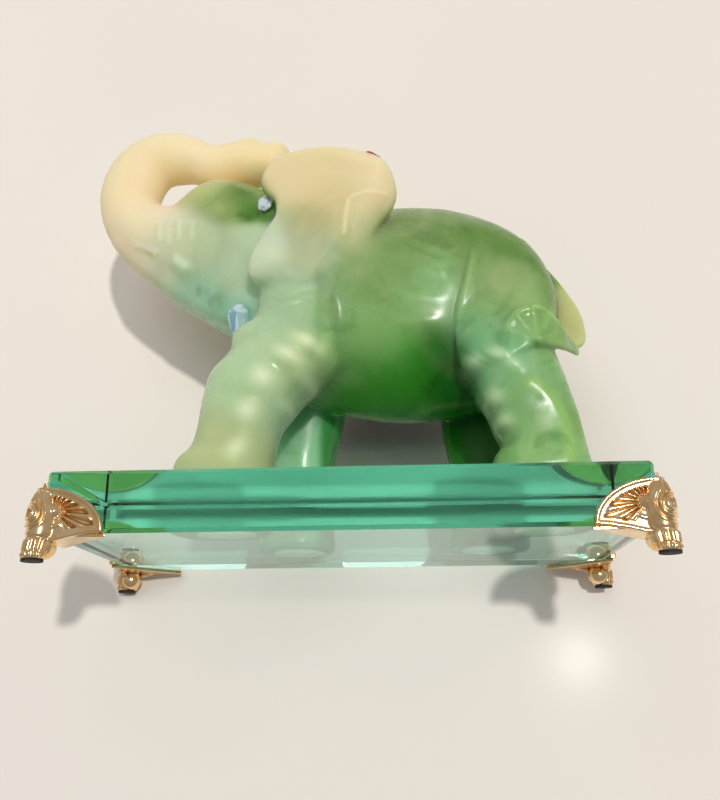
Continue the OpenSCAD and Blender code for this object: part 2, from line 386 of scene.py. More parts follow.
def jade_material():
    paint = Paint("jade")
    tint, green = (paint.attribute("Tint", output) for output in ("Color", "Alpha"))
    pale = paint.mix(paint.clouds(30, 3, 0.48, 0.75, 0.0, 0.20, 1.5), tint, srgb(222, 226, 176))
    patches = paint.math("MULTIPLY", green, paint.clouds(48, 3, 0.5, 0.72, 0.0, 0.35, 2.0))
    deep = paint.mix(patches, pale, srgb(110, 165, 75), "MULTIPLY")
    # The cream parts are softer in polish than the green ones, and the dark parts shine less.
    polish = paint.clouds(160, 3, 0.3, 0.7, 0.22, 0.34)
    rough = paint.math("ADD", polish, paint.remap(green, 0.0, 0.16, 0.20, 0.0))
    light = paint.remap(paint.add("RGBToBW", {"Color": tint}), 0.08, 0.30, 0.12, 0.5)
    shine = paint.math("MULTIPLY", light, paint.remap(green, 0.0, 0.16, 0.6, 1.0))
    return paint.finish({
        "Base Color": deep, "Roughness": rough, "Specular IOR Level": shine, "IOR": 1.38,
        "Subsurface Weight": 1.0, "Subsurface Radius": (0.8, 1.0, 0.5), "Subsurface Scale": 0.012,
    }, (300, 3, 0.08, 0.0004))


def glass_material():
    paint = Paint("plinth_glass")
    paint.fill((0.255, 0.807, 0.671, 1), 30.0)
    rough = paint.clouds(55, 4, 0.45, 0.8, 0.0, 0.035)
    return paint.finish({
        "Base Color": (0.97, 1.0, 0.99, 1), "Transmission Weight": 1.0, "IOR": 1.52, "Roughness": rough,
    }, (30, 2, 0.02, 0.0003))


def gilt_material():
    """Worn gold with a dark patina in its grooves; the faces against the glass are matt and yellow."""
    paint = Paint("gilt")
    depth, back = paint.attribute("Depth"), paint.attribute("Back")
    tone = paint.mix(paint.clouds(260, 4, 0.35, 0.7), (0.93, 0.60, 0.28, 1), (1.0, 0.76, 0.44, 1))
    worn = paint.mix(paint.remap(depth, 0.25, 0.85), tone, (0.20, 0.085, 0.03, 1))
    rough = paint.mix(paint.remap(depth, 0.1, 0.8), grey(0.17), grey(0.5))
    speckle = paint.mix(paint.clouds(900, 3, 0.4, 0.7, 0.0, 0.5), rough, grey(0.3))
    return paint.finish({
        "Base Color": paint.mix(back, worn, (1.0, 0.86, 0.42, 1)), "Metallic": 1.0,
        "Roughness": paint.mix(back, speckle, grey(0.75)),
    }, (1500, 4, 0.25, 0.0001))


def crystal_material(name, colour, dark, clear=1.0, inside=None):
    paint = Paint(name)
    if inside:
        paint.fill(*inside)
    # Facets pale or dark by turns, under soft dark mottling: painted light and painted shade that stand in
    # for a cut stone's sparkle.
    cut = paint.mix(paint.attribute("PaintedFacetShade"), colour, dark)
    return paint.finish({
        "Base Color": paint.mix(paint.clouds(420, 2, 0.4, 0.7, 0.0, 0.25), cut, dark), "IOR": 1.6,
        "Transmission Weight": clear, "Roughness": paint.clouds(400, 3, 0.4, 0.8, 0.0, 0.02),
    }, (300, 2, 0.02, 0.0001))


def foil_material(name, colour):
    """The silvered back of a set stone."""
    paint = Paint(name)
    tone = paint.mix(paint.clouds(900, 3, 0.3, 0.7), colour, (0.9, 0.92, 0.95, 1))
    return paint.finish({"Base Color": tone, "Metallic": 1.0, "Roughness": 0.12}, (1200, 3, 0.1, 0.00005))


def dull_material(name, light, dark, rough, scale, relief):
    paint = Paint(name)
    tone = paint.mix(paint.clouds(scale, 5, 0.3, 0.7), light, dark)
    rough = paint.clouds(scale * 2, 3, 0.3, 0.7, rough - 0.08, rough + 0.08)
    return paint.finish({"Base Color": tone, "Roughness": rough}, (scale * 3, 5, 0.4, relief))


def one_sided_material(name, colour):
    """A pale surface that is only there from its front, so that it never hides the object."""
    paint = Paint(name)
    tone = paint.mix(paint.clouds(3, 3, 0.3, 0.7), colour, tuple(0.97 * c for c in colour[:3]) + (1,))
    behind, clear = paint.add("NewGeometry", {}, "Backfacing"), paint.add("BsdfTransparent", {})
    chosen = paint.add("MixShader", {0: behind, 1: paint.shader.outputs[0], 2: clear})
    paint.plug(paint.out, {"Surface": chosen})
    return paint.finish({
        "Base Color": tone, "Roughness": 0.14, "Specular IOR Level": 0.012,
    }, (300, 2, 0.03, 0.0002))


# ---- mesh objects
def mesh_object(name, points, faces, materials, smooth=True):
    """points in the row frame, metres."""
    mesh = bpy.data.meshes.new(name)
    mesh.from_pydata(np.asarray(points).tolist(), [], [tuple(int(i) for i in f) for f in faces])
    mesh.polygons.foreach_set("use_smooth", [smooth] * len(mesh.polygons))
    for material in materials:
        mesh.materials.append(material)
    mesh.update()
    made = bpy.data.objects.new(name, mesh)
    bpy.context.scene.collection.objects.link(made)
    return made


def stand_for(piece, slot, *nodes):
    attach(piece, "root")
    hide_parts(*nodes)


# ---- the elephant
TRUNK = [
    (-50, 0, 89, 18.5), (-66, 0, 95.5, 16.6), (-79, 0, 102.5, 13.2), (-87, 0, 112, 11), (-89.3, 0, 122, 10),
    (-86.5, 0, 131, 9.6), (-79, 0, 136.6, 10), (-70, 0, 137.3, 10), (-62, 0, 135.6, 8.5),
    (-55, 0, 132.8, 8.4), (-45, 0, 134, 8.8), (-33, 0, 133, 8.3),
]
# Levels of each leg: z, front x, rear x, middle |y|, half width in y.
FORELEG = {
    -1: [
        (-2, -57.4, -25.3, 20.5, 14.6), (3, -57.3, -25.2, 20.5, 14.8), (6.9, -56.3, -25.1, 20.5, 14.4),
        (9.5, -53.6, -24.6, 20.2, 13.9), (12, -51.8, -24.2, 20, 13.7), (17.3, -50.3, -22.6, 20, 13.9),
        (23, -49.8, -18.6, 20, 14.6), (28.8, -49, -13.6, 20, 15.4), (33.5, -48, -8.2, 20, 16),
        (37, -46.6, -5.0, 20, 16.2), (40.5, -43.4, -3.4, 20, 16.3), (45, -40.5, -2.8, 19.5, 16.6),
        (50.5, -40, -2.8, 18.6, 16.6), (54.5, -34.6, -2.9, 18, 16.7), (60, -32, -3.2, 17, 16.8),
        (70, -32, -7, 15.4, 14.8), (80, -32.4, -12, 14, 12.5), (88, -33, -15, 12, 9),
    ],
    1: [
        (-2, -36, -8.6, 20.5, 13.6), (3, -35.8, -8.4, 20.5, 13.8), (7, -34.6, -8.8, 20.3, 13.2),
        (12, -33, -9.2, 20, 12.8), (20, -33, -8.2, 20, 13.4), (27, -34, -6.2, 20, 14.2),
        (33, -34.4, -5, 20, 15), (40, -35, -4, 20, 16), (50, -37, -3.4, 18.5, 16.6),
        (60, -38, -3.6, 17, 16.8), (70, -37.5, -4.6, 16, 16), (80, -36, -7, 14, 14), (88, -34, -11, 12, 11),
    ],
}
HINDLEG = {
    -1: [
        (-2, 45, 76.8, 19.5, 14.5), (3, 45.2, 76.6, 19.5, 14.6), (6.9, 46.4, 76, 19.5, 14.2),
        (9.5, 48.3, 75.6, 19.4, 13.8), (12.2, 48.4, 75.2, 19.3, 13.6), (16.3, 46.6, 74.7, 19.2, 13.8),
        (20, 45.3, 74, 19.2, 14), (23.5, 43.6, 73.2, 19.2, 14.2), (27, 41.4, 72.2, 19.2, 14.4),
        (31, 40.4, 71.1, 19.2, 14.6), (36.9, 37, 69.4, 19, 14.8), (44, 35.2, 67.8, 18.4, 14.9),
        (50, 34.4, 68.6, 17.4, 15), (57, 34, 70.2, 15.8, 15.4), (66, 35.5, 71, 13, 15.4),
        (77, 38.5, 69, 9, 15), (88, 44, 64, 6, 11),
    ],
    1: [
        (-2, 32.5, 61.6, 19.8, 13.6), (3, 32.6, 61.4, 19.8, 13.8), (7, 34, 60.8, 19.6, 13.2),
        (12, 34.4, 60, 19.4, 12.8), (20, 33, 59.6, 19.4, 13.2), (30, 31.5, 59.6, 19.2, 14),
        (40, 30.5, 61, 18.6, 14.8), (50, 31, 65, 17.4, 15), (57, 31, 67.5, 15.8, 15.4),
        (66, 33, 69, 13, 15.4), (77, 37, 68, 9, 15), (88, 43, 63, 6, 11),
    ],
}
# x, z, half length, half height and rise of the soft folds down the outer face of each leg
LEG_FOLDS = {
    -1: [
        (-13, 42.6, 5.2, 2.8, 1.5), (-18.6, 38, 5.0, 2.8, 1.6), (-27, 30.4, 4.4, 3.8, 1.6),
        (-31.5, 20, 3.8, 4.2, 1.4), (-34.5, 8, 3.4, 4.6, 1.2), (-12, 30, 5, 2.4, 0.7), (-19, 22, 4, 2.2, 0.6),
        (40.5, 36, 3, 2.6, 0.8), (48, 37.6, 3.4, 2.4, 1.0), (52.6, 34, 3.2, 2.2, 0.9),
        (46.3, 24, 3.4, 2.8, 1.0), (49, 16.4, 3.2, 2.6, 0.9),
    ],
    1: [
        (-15, 31, 5, 3, 1.2), (-14.5, 20.5, 4, 2.6, 1.2), (-14, 11, 4, 2.4, 1.2), (41, 36, 5, 3, 0.9),
        (45, 26, 5, 3, 0.9),
    ],
}
# The bent crease on each ear's outer face, and the softer folds beside it, x and z.
EAR_CREASES = [[(-1.2, 84), (-0.8, 91), (0.2, 96)], [(1.5, 97.5), (7, 98.8), (13, 98.6)]]
EAR_FOLDS = [
    [(-17, 84), (-15, 91), (-10, 96), (-5, 99)], [(-22, 107), (-8, 109.5), (6, 106)],
    [(-4, 113.5), (4, 111), (11, 106)],
]
# x, z, half width, half height and rise of the soft bumps on the flank
FLANK_BUMPS = [
    (22, 60, 7, 3.2, 0.5), (25, 52, 6, 2.8, 0.6), (14, 64, 7, 5, 0.6), (28, 70, 8, 3, 0.7),
    (8, 84, 9, 6, 0.7),
]
# A long soft ridge down the outer face of the left hind leg, x and z.
THIGH_RIDGE = [(57.5, 27.6), (61, 25.6), (64.6, 22.4), (67.4, 17), (68.2, 9), (67.6, 2)]
EYE = np.array([-29.2, 20.2, 101.6])


# start, end, width, height of ridges on the trunk's root, seen from the side
ROOT_RIDGES = [
    ((-70.5, 99.5), (-70, 92.5), 1.0, 0.9), ((-63, 100), (-62.4, 92), 1.0, 1.0),
    ((-58, 99), (-57.4, 92), 1.0, 0.8), ((-66.6, 96), (-66.4, 91), 0.9, 0.6),
    ((-79.5, 92.5), (-72, 88.5), 1.1, 1.0), ((-63.5, 84.5), (-59, 81), 2.0, 1.1),
]


def ear_out(x):
    return 29 + 0.1 * (x + 10)


EAR_EDGE = smooth_row([
    (-27.5, 115.2), (-23.4, 118), (-12.5, 119.4), (-4.7, 118.8), (5, 115.9), (11.7, 112.4), (15.4, 107.6),
    (17, 101.3), (15.4, 95), (11.2, 90.2), (7, 84.6), (2, 78), (-3.5, 72), (-11.5, 68), (-20, 66.8),
    (-29, 67.2), (-33.4, 69.8), (-34.5, 73.5), (-33.2, 79.5), (-29.7, 87), (-26.2, 92), (-24.8, 96),
    (-26, 100.2), (-29.6, 103), (-31.2, 106.6), (-30.3, 111.4), (-27.5, 115.2),
], 2)[:-1]


def flat_distance(x, z, edge):
    """Signed distance in the X-Z plane to a closed outline, negative inside."""
    best, sign = np.full(np.broadcast(x, z).shape, 1e9), 1.0
    for a, b in zip(edge, np.roll(edge, 1, 0)):
        ex, ez = b - a
        wx, wz = x - a[0], z - a[1]
        share = np.clip((wx * ex + wz * ez) / (ex * ex + ez * ez), 0, 1)
        best = np.minimum(best, (wx - ex * share) ** 2 + (wz - ez * share) ** 2)
        above, below, left = z >= a[1], z < b[1], ex * wz > ez * wx
        sign = np.where((above & below & left) | (~above & ~below & ~left), -sign, sign)
    return sign * np.sqrt(best)


def ear_marks(x, z, edge):
    """How much each place of an ear belongs to its rolled rim and to its lobe."""
    return hill(edge + 3.4, 2.6) * ramp(z - 90, 10) * ramp(x + 16, 10), spot((x + 26) / 9, (z - 75) / 7)


def ear_middle(x, z, edge):
    rim, lobe = ear_marks(x, z, edge)
    sunk = ramp(x + 4 + 0.6 * (84 - z), 10) * rise(edge, -14, -1)
    return ear_out(x) - 1.6 * spot((x + 10) / 9, (z - 93) / 8) + 0.25 * rim + 2.0 * lobe - 4.2 * sunk


def ear_half(x, z, edge):
    rim, lobe = ear_marks(x, z, edge)
    return 2.6 + 0.25 * rim + 1.6 * lobe


def ear_shape(side):
    """A thick leaf with a rolled rim and a hollow middle; its lower rear edge sinks into the body."""
    reach = (-40, side * 30 - 13, 60), (24, side * 30 + 13, 124)
    return sheet(EAR_EDGE, ear_middle, ear_half, 2.0, *reach, side)


# The tail in the X-Z plane: a broad thin fin, and the leaf that its tip becomes on the left thigh.
FIN_EDGE = smooth_row([
    (57, 96), (64, 91.8), (70.9, 84), (77.4, 74.6), (81.3, 65.4), (82.4, 56.6), (80.6, 49.8), (76.5, 47.6),
    (72, 51), (66, 58), (61, 72), (56, 88), (57, 96),
], 3)[:-1]
LEAF_EDGE = smooth_row([
    (49.8, 36.4), (49, 42), (50.5, 47.8), (54.6, 52.8), (61.9, 54.2), (68, 51.4), (73, 47.8), (78, 46.6),
    (76.6, 43.2), (68, 40.8), (59.7, 39.6), (53.6, 37), (49.8, 36.4),
], 3)[:-1]


def sheet(edge, middle, half, roll, low, high, side=1):
    """A thin bent sheet: an outline in X-Z, its middle y and half thickness, and a rounded edge."""
    def distance(x, y, z):
        inner = flat_distance(x, z, edge)
        off = np.abs(side * y - middle(x, z, inner)) - (half(x, z, inner) - roll)
        return rounded(inner, off, roll)

    return distance, np.array(low, float), np.array(high, float)


def fin_middle(x, z, edge=None):
    return -0.5 - 2.5 * rise(75 - z, 0, 15) - 7.0 * rise(60 - z, 0, 13)


def leaf_middle(x, z, edge=None):
    across = (-32.4, -33.3, -33.1, -31.6, -28.4, -24.8, -20, -12)
    return np.interp(x, (50, 56, 60, 64, 68, 71, 74, 78), across)


def leaf_half(x, z, edge):
    return 1.8 + 0.7 * hill(edge + 1.6, 1.2) * rise(z, 42, 48)


def sculpt_elephant(step):
    reach = (-104, -42, -3), (88, 42, 152)
    clay = Clay(*reach, step)
    clay.add(egg((20, 0, 65.5), (52.6, 29, 39.5)))
    clay.add(egg((-8, 0, 69), (27, 27, 35)), 10)
    clay.add(egg((42, 0, 67), (29, 28, 33)), 10)
    clay.add(egg((21, 0, 87), (32, 17, 21)), 8)
    clay.add(taper((-4, 0, 79, 25), (-30, 0, 88, 21)), 10)
    # Head, jaw and throat.
    clay.add(egg((-36, 0, 93), (22, 20, 22)), 8)
    clay.add(taper((-42, 0, 79, 17.4), (-60, 0, 86, 13.4)), 6)
    clay.add(taper((-35, -8, 65, 9.5), (-35, 8, 65, 9.5)), 5)
    for side in SIDES:
        clay.add(column(HINDLEG[side], side, 2.5), 2.0)
        clay.add(column(FORELEG[side], side), 2.5)
        # The ear's root.
        clay.add(taper((-20, side * 17, 80, 8), (-22, side * 17, 100, 6)), 4)
        clay.add(taper((-20, side * 24, 78, 5), (-22, side * 25, 97, 3.4)), 3)
    # The forehead's dome runs down into the trunk's root.
    brow = Clay(*reach, step)
    brow.add(egg((-51, 0, 106), (18, 16, 18.6)))
    brow.add(egg((-41, 0, 104), (15, 16.5, 17)), 5)
    brow.add(taper((-54, 0, 107, 13), (-70, 0, 103, 10)), 4)
    clay.field = smooth_min(clay.field, brow.field, 5)
    clay.add(chain(smooth_row(TRUNK, 3), 0.4), 1.6)
    clay.add(egg((-83, 0, 125.6), (8.4, 8.4, 8.6)), 6)
    clay.add(egg((-41, 0, 139.6), (6.5, 6, 5.4)), 1.5)
    clay.add(egg((-31, 0, 138), (5.5, 6, 4.4)), 1.5)
    for side in SIDES:
        clay.add(egg((-4, side * 21, 77), (15, 7.4, 13)), 5)
        clay.add(ear_shape(side), 2.6)
        # A mound for the eye, and the soft hollow in front of it.
        clay.add(egg((-29, side * 17.4, 101.5), (5, 4.6, 5.4), side * -14), 2)
        clay.add(egg((-36.5, side * 21.6, 101.5), (4.4, 3, 5)), 3, -1)
    clay.add(sheet(FIN_EDGE, fin_middle, lambda x, z, edge: 2.3, 1.9, (54, -14, 45), (86, 5, 99)), 2.2)
    clay.add(sheet(LEAF_EDGE, leaf_middle, leaf_half, 1.5, (46, -39, 33), (82, -6, 58)), 1.6)
    clay.flatten_below(0)
    return clay


def fold_marks(x, z, fold):
    """How much each point lies on the crest of a leg's fold, and in the trough below it."""
    cx, cz, long, tall, _ = fold
    across = (x - cx) * 0.9 - (z - cz) * 0.44
    upward = (x - cx) * 0.44 + (z - cz) * 0.9
    return spot(across / long, upward / tall), spot(across / long, (upward + 1.9 * tall) / tall)


def elephant_detail(points):
    """How far each point of the skin moves out, in millimetres: wrinkles, folds, rings and ear creases."""
    x, y, z = points.T
    out = np.abs(y)
    move = 0.10 * waves(points, 22, 3) + 0.04 * waves(points, 9, 4)
    flat = np.stack([x, z], 1)
    # Short upright ridges on the trunk's root, the lip, and the hollow above it.
    for start, end, width, height in ROOT_RIDGES:
        move += height * hill(from_line(flat, [start, end]), width) * rise(out, 3, 9) * (x < -50)
    lip = from_line(flat, [(-90, 97), (-84, 91), (-76, 84), (-66, 76), (-54, 68), (-46, 64)])
    hollow = from_line(flat, [(-82, 94), (-74, 87), (-64, 79), (-52, 71)])
    broken = 0.22 + 0.28 * waves(points, 12, 5)
    move += (0.9 * hill(lip, 1.8) - broken * hill(hollow, 1.8)) * rise(out, 2, 6) * rise(-x, 42, 48)
    for side in SIDES:
        outward = side * y
        # Soft folds down the outer face of the legs.
        for fold in LEG_FOLDS[side]:
            crest, trough = fold_marks(x, z, fold)
            move += fold[-1] * (crest - 0.2 * trough) * rise(outward, 12, 24)
        # The double fold at the shoulder's rear edge.
        near = x - np.interp(z, (38, 46, 58, 66, 74), (-6.5, -4.2, -4.2, -4.6, -6))
        there = rise(z, 32, 42) * rise(76 - z, 0, 10) * (outward > 0) * rise(out, 16, 22)
        double = 0.26 * hill(near + 1.6, 2.1) - 0.4 * hill(near + 4.6, 1.5) + 0.22 * hill(near + 7.6, 2.1)
        move += there * double
        # Short folds high on the shoulder, under the ear.
        for cx, cz, long, tall, height in ((-16, 61.5, 5, 1.5, 0.8), (-17.5, 57.5, 4, 1.2, 0.5)):
            slant = (z - cz) - 0.4 * (x - cx)
            move += height * spot((x - cx) / long, slant / tall) * rise(outward, 14, 24)
        # The thigh stands out from the flank along a crisp fold, further forward on the right.
        shift = 0 if side < 0 else -4
        fold = np.interp(z, (36, 41, 48.2, 57, 65.5, 74, 80), (37.6, 36, 35.1, 36.4, 38.9, 41, 42))
        near = (x - shift - fold) * 0.97
        there = rise(z, 33, 38) * rise(82 - z, 0, 16) * (outward > 0) * rise(out, 14, 20)
        before, behind = -1.5 * np.exp(np.minimum(near, 0) / 4.5), 1.3 * np.exp(-np.maximum(near, 0) / 5.0)
        step = np.where(near < 0, before, behind)
        move += there * step * np.tanh(np.abs(near) / 0.5)
    move += 0.5 * hill(from_line(flat, THIGH_RIDGE), 2.8) * rise(-y, 20, 26)
    for cx, cz, wide, tall, height in FLANK_BUMPS:
        move += height * (spot((x - cx) / wide, (z - cz) / tall) * rise(out, 12, 18)) * rise(37 - x, 0, 6)
    # Creases on the ears' outer faces, and the lids round the eyes.
    upright, level, root, upper, tip = (from_line(flat, line) for line in EAR_CREASES + EAR_FOLDS)
    for side in SIDES:
        on_ear = (side * y > ear_out(x) - 1.5) * (x < 19) * (z > 64)
        move += on_ear * (0.6 * hill(upright, 0.9) + 0.5 * hill(level, 0.8) - 0.15 * hill(upright - 2.2, 1.2))
        move += on_ear * (0.30 * hill(root, 1.8) + 0.14 * hill(upper, 1.8) + 0.16 * hill(tip, 1.4))
        move += 0.5 * hill(np.linalg.norm(points - EYE * (1, side, 1), axis=1) - 3.7, 0.9)
    # The leaf: soft hairs that spread from its lower edge.
    on_leaf = rise(leaf_middle(x, z) - y, 0, 1) * (x > 50) * (x < 76) * rise(z, 39, 42) * rise(54 - z, 0, 2)
    for tip in ((51.5, 45), (54.5, 50), (60, 52.5), (65.5, 50.5), (70, 47)):
        move += on_leaf * 0.4 * hill(from_line(flat, [(60.5, 41), tip]), 0.9)
    return move


# name: (x, distance from the middle plane, z, reach, screen colour)
JADE_COLOURS = {
    "trunk_arch": (-84, 0, 124, 16, (250, 226, 186)),
    "trunk_top": (-64, 0, 137, 14, (252, 227, 188)),
    "trunk_tip": (-42, 0, 136, 12, (246, 223, 178)),
    "trunk_root": (-80, 6, 98, 12, (240, 226, 192)),
    "face_front": (-68, 14, 90, 11, (218, 220, 188)),
    "face": (-54, 18, 88, 10, (186, 202, 164)),
    "forehead": (-55, 8, 116, 9, (188, 194, 136)),
    "forehead_back": (-38, 12, 114, 8, (108, 140, 66)),
    "eye_hollow": (-33, 18, 103, 6.4, (84, 136, 50)),
    "cheek": (-42, 20, 80, 9, (192, 212, 178)),
    "jaw": (-56, 12, 70, 11, (164, 210, 178)),
    "throat": (-40, 8, 64, 10, (150, 206, 174)),
    "lip": (-82, 4, 92, 7, (228, 212, 176)),
    "lip_low": (-68, 4, 79, 6, (194, 210, 176)),
    "dome": (-47, 13, 106, 8, (150, 172, 102)),
    "thigh_top": (40, 30, 50, 7, (128, 186, 132)),
    "ear_top": (-12, 32, 112, 10, (232, 212, 172)),
    "ear_tail": (10, 33, 103, 11, (240, 219, 182)),
    "ear_middle": (-4, 32, 96, 9, (222, 208, 162)),
    "ear_hollow": (-12, 30, 88, 6, (188, 188, 136)),
    "ear_low": (-14, 31, 78, 8, (184, 192, 156)),
    "ear_lobe": (-29, 30, 74, 7, (207, 219, 192)),
    "ear_back": (3, 31, 84, 7, (208, 206, 160)),
    "shoulder": (-18, 33, 58, 12, (174, 202, 164)),
    "shoulder_rear": (-2, 31, 58, 5, (136, 171, 110)),
    "foreleg": (-34, 34, 32, 14, (187, 213, 172)),
    "forefoot": (-40, 33, 8, 12, (186, 200, 148)),
    "foreleg_back": (-12, 31, 36, 10, (168, 198, 140)),
    "back": (22, 12, 97, 16, (122, 152, 88)),
    "body": (12, 29, 70, 14, (131, 167, 99)),
    "body_low": (6, 30, 50, 13, (140, 184, 112)),
    "flank": (27, 29, 60, 9, (152, 194, 136)),
    "belly": (14, 22, 34, 14, (66, 158, 38)),
    # Partly the jade's deep green, partly painted shade in the fold in front of the thigh.
    "groin_green_and_shade": (32, 26, 38, 11.5, (6, 98, 14)),
    "rump": (58, 18, 82, 15, (102, 142, 66)),
    "haunch": (50, 29, 60, 12, (138, 172, 108)),
    "thigh": (45, 32, 38, 10, (140, 196, 144)),
    "hindleg": (58, 32, 20, 12, (136, 182, 120)),
    "hindleg_rear": (72, 28, 14, 6, (118, 164, 72)),
    "hindfoot": (64, 30, 6, 11, (142, 190, 120)),
    "tail": (78, 4, 62, 8, (190, 190, 136)),
    "tuft": (60, 29, 50, 7, (146, 186, 114)),
}
INNER_GREEN_AND_SHADE = (12, 86, 16)
FAR_FORELEG_PAINTED_LIGHT = (172, 232, 186)
FAR_FORELEG_BACK = (36, 146, 50)
CREST_HIGHLIGHT = (234, 243, 210)
TROUGH_SHADE = (178, 194, 104)
RIDGE_HIGHLIGHT = (172, 206, 116)
RUMP = (112, 150, 76)
CREASE_HIGHLIGHT = (242, 226, 186)
MINT_HIGHLIGHT = (220, 246, 220)


def blend(tint, colour, share):
    return tint + (np.array(srgb(*colour)[:3]) - tint) * np.clip(share, 0, 1)[:, None]


def jade_tint(points, normals):
    """The carving's colours, with painted highlights on folds, a ridge, creases and the jaw, painted shade
    under and between the legs and in folds, and painted light on the far foreleg: patches that flow into each
    other, with the green's share as alpha.
    """
    x, y, z = points.T
    flat = np.stack([x, z], 1)
    mirrored = np.column_stack([x, np.abs(y), z])
    shifted = mirrored + np.stack([waves(points, 34, 21 + k, 8) * 2.2 for k in range(3)], 1)
    total, weight = np.zeros((len(points), 3)), np.zeros(len(points))
    for *place, reach, colour in JADE_COLOURS.values():
        far2 = ((shifted - place) ** 2).sum(1)
        w = np.exp(-far2 / (2 * (0.62 * reach) ** 2)) + 1e-5 / (1 + far2)
        total += w[:, None] * np.array(srgb(*colour)[:3])
        weight += w
    tint = total / weight[:, None]
    # Only the tail itself is pale, not the rump on either side of it.
    beside = rise(np.abs(y - fin_middle(x, z)), 2.8, 4.6) * rise(x, 60, 68)
    tint = blend(tint, RUMP, 0.85 * (beside * rise(z, 54, 60) * rise(92 - z, 0, 6)))
    # The insides of the legs and the belly's middle are deep green: partly the jade's own colour, partly
    # painted shade on faces that turn inwards or down.
    inner = rise(46 - z, 0, 16) * rise(18 - np.abs(y), 0, 12) * rise(-normals[:, 1] * np.sign(y), -0.3, 0.7)
    inner = np.maximum(inner, 0.5 * rise(-normals[:, 2], 0.2, 0.9) * rise(52 - z, 0, 10) * rise(x, -30, -6))
    tint = blend(tint, INNER_GREEN_AND_SHADE, 0.8 * inner)
    # The right foreleg, seen between the others, gets painted light to make it pale, with a deeper green on
    # its rear edge.
    far = rise(y, 2, 8) * rise(40 - z, 0, 8) * rise(-x, 2, 5)
    tint = blend(tint, FAR_FORELEG_PAINTED_LIGHT, 0.9 * far)
    tint = blend(tint, FAR_FORELEG_BACK, 0.85 * far * rise(x, -15, -11))
    # Painted highlights on the crests of the legs' folds, and painted yellow-green shade in the troughs
    # between them.
    for side in SIDES:
        for fold in LEG_FOLDS[side]:
            crest, trough = fold_marks(x, z, fold)
            mine = fold[-1] * rise(side * y, 10, 22)
            tint = blend(tint, CREST_HIGHLIGHT, 0.42 * mine * crest)
            tint = blend(tint, TROUGH_SHADE, 0.12 * mine * trough)
    # A painted highlight along the ridge on the left hind leg.
    tint = blend(tint, RIDGE_HIGHLIGHT, 0.45 * hill(from_line(flat, THIGH_RIDGE), 2.4) * rise(-y, 20, 26))
    # Painted highlights along the raised creases on the ears.
    crease = sum(hill(from_line(flat, line), 1.0) for line in EAR_CREASES)
    tint = blend(tint, CREASE_HIGHLIGHT, 0.4 * crease * (np.abs(y) > ear_out(x) - 6) * (z > 80))
    # A painted highlight on the jaw.
    tint = blend(tint, MINT_HIGHLIGHT, 0.7 * hill(from_line(flat, [(-63, 84), (-60.5, 82)]), 1.6) * (np.abs(y) > 6))
    green = rise(tint[:, 1] / (tint[:, 0] + 0.01), 1.1, 1.8)
    # The polish is as soft along the ear's lower rear edge as on the ear itself.
    green *= 1 - 0.95 * hill(from_line(flat, [(-14, 66), (-3, 73), (4, 80)]), 6) * (np.abs(y) > 16)
    return np.column_stack([tint, green])


def make_elephant(material):
    points, faces = skin(sculpt_elephant(0.6))
    points = relax(points, faces, 3)
    above_sole = points[:, 2:] >= 0.9
    points = points + point_normals(points, faces) * elephant_detail(points)[:, None] * above_sole
    points = relax(points, faces, 1, 0.6)
    points[:, 2] = np.maximum(points[:, 2], 0)
    made = mesh_object("elephant_carving", to_row(points), faces, [material])
    tint = made.data.attributes.new("Tint", "FLOAT_COLOR", "POINT")
    tint.data.foreach_set("color", jade_tint(points, point_normals(points, faces)).astype(np.float32).ravel())
    stand_for(made, "jade", "jade_elephant")


# ---- the gilt corner feet
CORNERS = {"front_left": (-1, -1), "front_right": (1, -1), "rear_left": (-1, 1), "rear_right": (1, 1)}
WING = 19.0
FAN_HIGH = 13.5
FOOT_HIGH = SLAB_LOW[2] / MM
# Height of the feet's soles below the glass.
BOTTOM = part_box("foot_pad_front_left")[1][2] / MM - FOOT_HIGH
HUB = (3.9, 6.3)
SOLE_OUT = (SLAB_LOW[0] - np.mean(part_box("foot_pad_front_left"), 0)[0]) / MM
FILM = 0.2
PLATE = 1.2
# Height and radius of the corner post and, below zero, of the leg.
POST = np.array([
    (-9, 3.3), (-7.2, 3.5), (-5.5, 3.7), (-3, 4.0), (0, 4.35), (3, 4.5), (6, 4.35), (9, 3.8), (11.4, 2.9),
    (13, 1.7), (13.8, 0.5),
])


def fan_edge():
    arc = np.radians(np.linspace(0, 90, 19))
    edge = [(WING * np.cos(a), FAN_HIGH * np.sin(a)) for a in arc]
    edge += [(-1.0, FAN_HIGH), (-2.0, 10), (-2.0, -2.6), (4.6, -2.6), (9.0, -1.5), (14.5, -0.5)]
    return np.array(edge)


def wing_shape(swap):
    """A fan on the glass's outer face: grooves spread from a hub by the post to a plain rim."""
    edge = fan_edge()

    def distance(x, y, z):
        x, y = (y, x) if swap else (x, y)
        outline = flat_distance(x, z, edge)
        dx, dz = x - HUB[0], z - HUB[1]
        angle = np.arctan2(dz, dx)
        radius = np.sqrt(dx * dx + dz * dz)
        inside = ramp(radius - 1.6, 1.6) * ramp(-outline - 2.2, 0.7) * ramp(angle + 1.0, 0.3)
        groove = np.clip(np.cos(angle * 20 + 0.6) * 1.6 + 0.2, 0, 1)
        petal = 0.35 * np.clip(np.cos(angle * 20 + 0.6 + np.pi), 0, 1)
        lower = 0.35 * hill(radius - 4.6, 0.5) * ramp(-angle - 0.8, 0.3)
        knob = 0.8 * hill(radius, 1.3) - 0.3 * hill(radius - 2.0, 0.6)
        lip = 0.35 * hill(outline + 0.6, 0.5)
        thick = 1.9 + (petal - 0.85 * groove) * inside + lower + knob + lip
        off = np.abs(y + thick / 2) - thick / 2
        return np.maximum(outline, off).astype(np.float32)

    reach = np.array([-3.0, -4.0, -4.0]), np.array([WING + 1, 1.0, FAN_HIGH + 1.5])
    return distance, *(r[[1, 0, 2]] if swap else r for r in reach)


